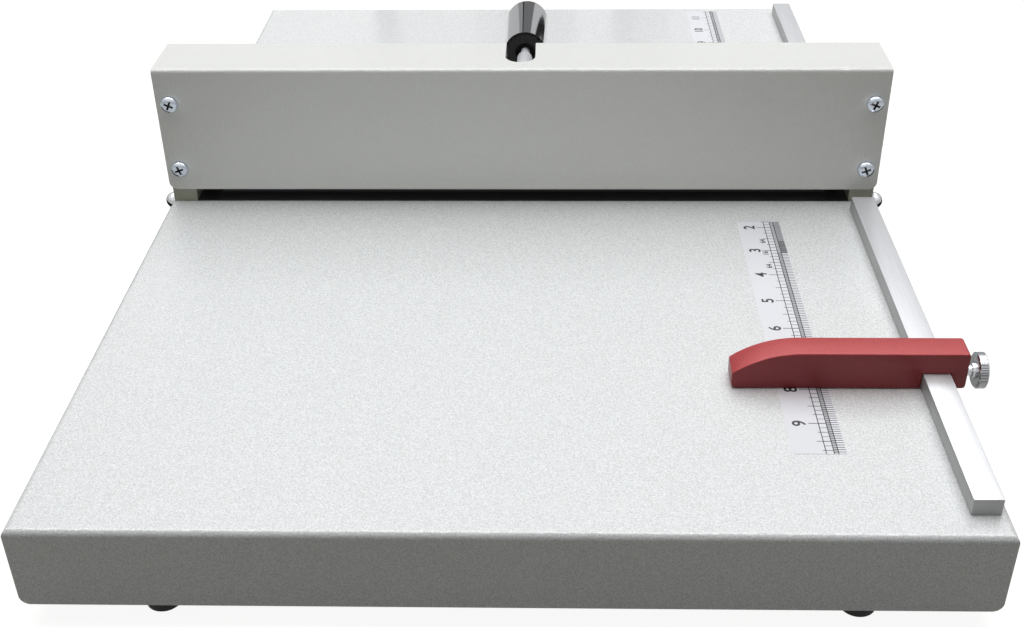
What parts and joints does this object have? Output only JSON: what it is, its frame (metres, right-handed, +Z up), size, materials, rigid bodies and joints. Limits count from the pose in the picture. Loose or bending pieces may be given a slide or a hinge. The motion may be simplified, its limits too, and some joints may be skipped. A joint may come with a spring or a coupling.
{
  "type": "desktop paper creasing machine",
  "caption": "Manual desktop card creaser: flat metal table, press frame with hand lever under a long cover, side fences, inch rulers and a red sliding stop.",
  "frame": {"origin": "on the desk plane, under the middle of the crease line", "axes": "+X to the operator's right, +Y away from the operator, +Z up"},
  "size_m": [0.4281, 0.604, 0.133],
  "materials": {
    "table_paint": "satin",
    "plate_paint": "satin",
    "black_steel": "satin",
    "zinc": "satin",
    "bright_chrome": "polished",
    "bare_steel": "satin",
    "bush_bronze": "satin",
    "fence_aluminium": "brushed",
    "red_anodised": "satin",
    "black_rubber": "matte",
    "ruler_film": "gloss"
  },
  "bodies": {
    "base": {"base_shell": "table_paint", "foot_rail_front": "table_paint", "foot_rail_rear": "table_paint", "foot_front_left": "black_rubber", "foot_front_right": "black_rubber", "foot_rear_left": "black_rubber", "foot_rear_right": "black_rubber", "foot_screws": "zinc", "foot_nuts": "zinc", "anvil_bar": "black_steel", "crease_matrix": "black_steel", "end_plate_left": "plate_paint", "end_plate_right": "plate_paint", "side_studs": "zinc", "side_washers": "zinc", "cap_nuts": "bright_chrome", "cover": "table_paint", "cover_screws_front": "zinc", "cover_screws_rear": "zinc", "bush_left": "bush_bronze", "bush_right": "bush_bronze", "guide_posts": "bare_steel", "spring_left": "bare_steel", "spring_right": "bare_steel", "fence_front": "fence_aluminium", "fence_rear": "fence_aluminium", "fence_screws": "zinc", "ruler_front": "ruler_film", "ruler_rear": "ruler_film"},
    "lever": {"cam_shaft": "bare_steel", "cam_left": "bare_steel", "cam_right": "bare_steel", "collar_left": "bare_steel", "collar_right": "bare_steel", "lever_hub": "black_steel", "set_screws": "black_steel", "lever_rod": "bright_chrome", "lever_grip": "bright_chrome", "grip_plug": "black_rubber"},
    "blade": {"blade_carrier": "black_steel", "crease_blade": "bare_steel", "blade_screws": "black_steel", "cam_pads": "bare_steel"},
    "stop": {"paper_stop": "red_anodised"},
    "thumb": {"thumb_screw": "zinc"}
  },
  "joints": [
    {"name": "lever_turn", "type": "hinge", "parent": "base", "child": "lever", "pos_m": [0, 0, 0.114], "axis": [1, 0, 0], "range_deg": [0, 105]},
    {"name": "blade_press", "type": "slide", "parent": "base", "child": "blade", "axis": [0, 0, -1], "range_m": [0, 0.0056], "stiffness_N_per_m": 1200, "springref_m": -0.025, "deforming": ["spring_left", "spring_right"]},
    {"name": "stop_slide", "type": "slide", "parent": "base", "child": "stop", "axis": [0, 1, 0], "range_m": [-0.086, 0.1588]},
    {"name": "thumb_turn", "type": "hinge", "parent": "stop", "child": "thumb", "pos_m": [0.2063, -0.1956, 0.0579], "axis": [1, 0, 0], "range_deg": [0, 360]}
  ],
  "couplings": [
    {"joint": "blade_press", "follows": "lever_turn", "m_per_rad": 0.0030557}
  ]
}
